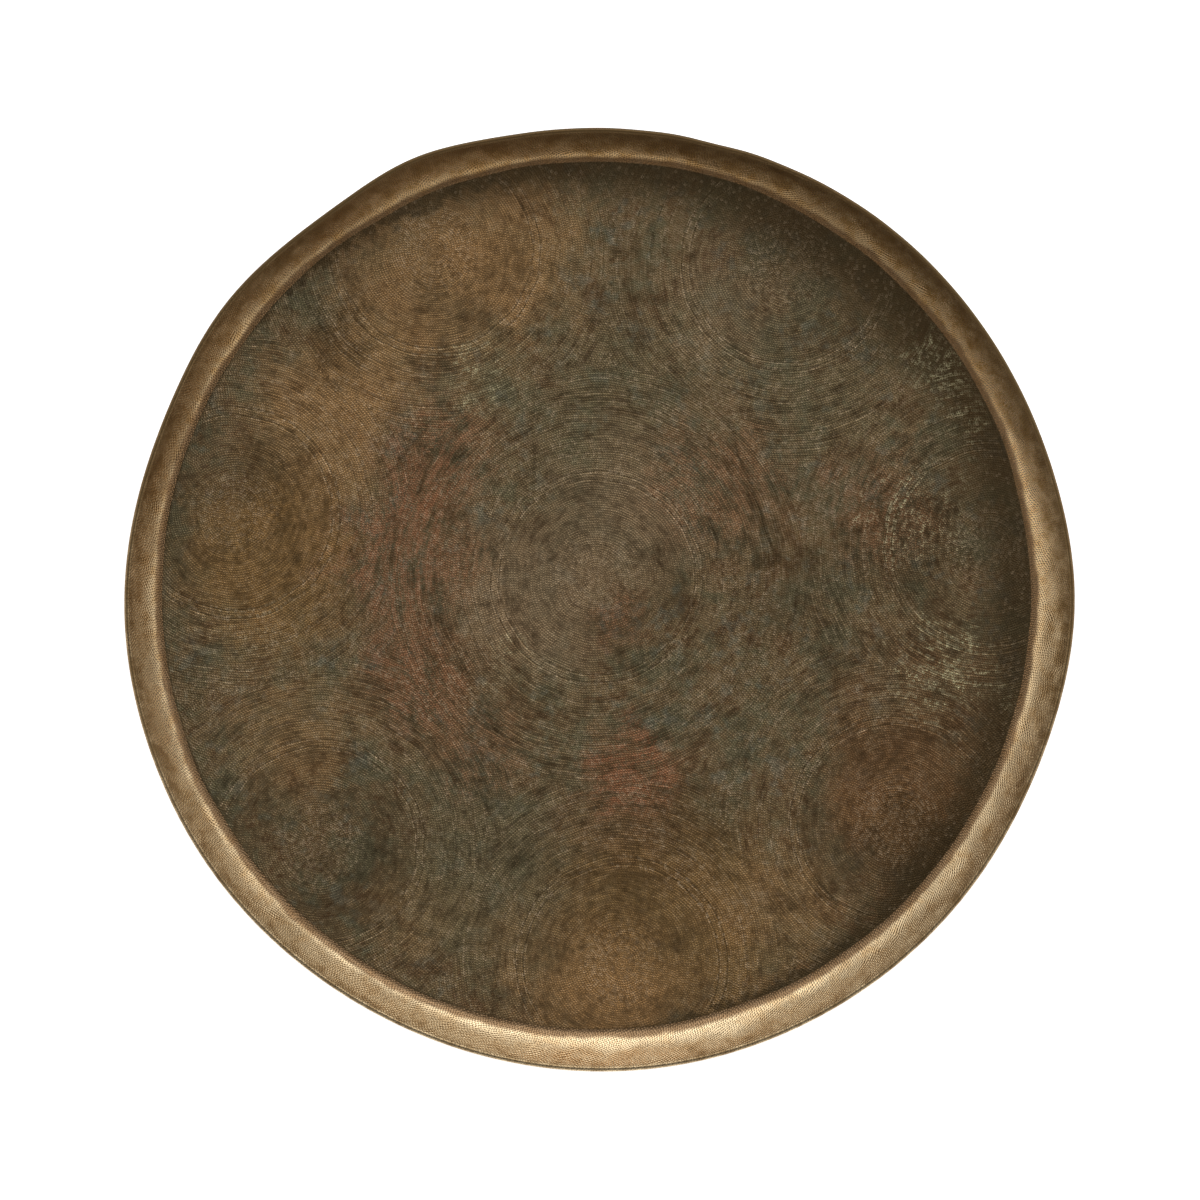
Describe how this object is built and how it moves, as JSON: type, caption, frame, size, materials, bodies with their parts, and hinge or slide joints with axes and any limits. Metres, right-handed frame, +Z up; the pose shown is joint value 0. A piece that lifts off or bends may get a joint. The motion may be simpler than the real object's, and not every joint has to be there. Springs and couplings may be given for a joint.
{
  "type": "round brass tray",
  "caption": "Large round hand-beaten brass tray with a flat chased floor, a flared rim wall and a rolled edge stiffened by a wire hoop.",
  "frame": {"origin": "on the flat underside of the floor, under the middle of the tray's outline", "axes": "+Z up out of the recess; +X and +Y level, with the two blunt corners of the outline in the -X +Y quarter"},
  "size_m": [0.6006, 0.5962, 0.022],
  "materials": {
    "pan_brass": "aged satin brass, chased and hammered, with a brown patina",
    "wire_steel": "plain drawn iron wire, dull"
  },
  "bodies": {
    "root": {"tray_pan": "pan_brass", "rim_wire": "wire_steel"}
  },
  "joints": []
}
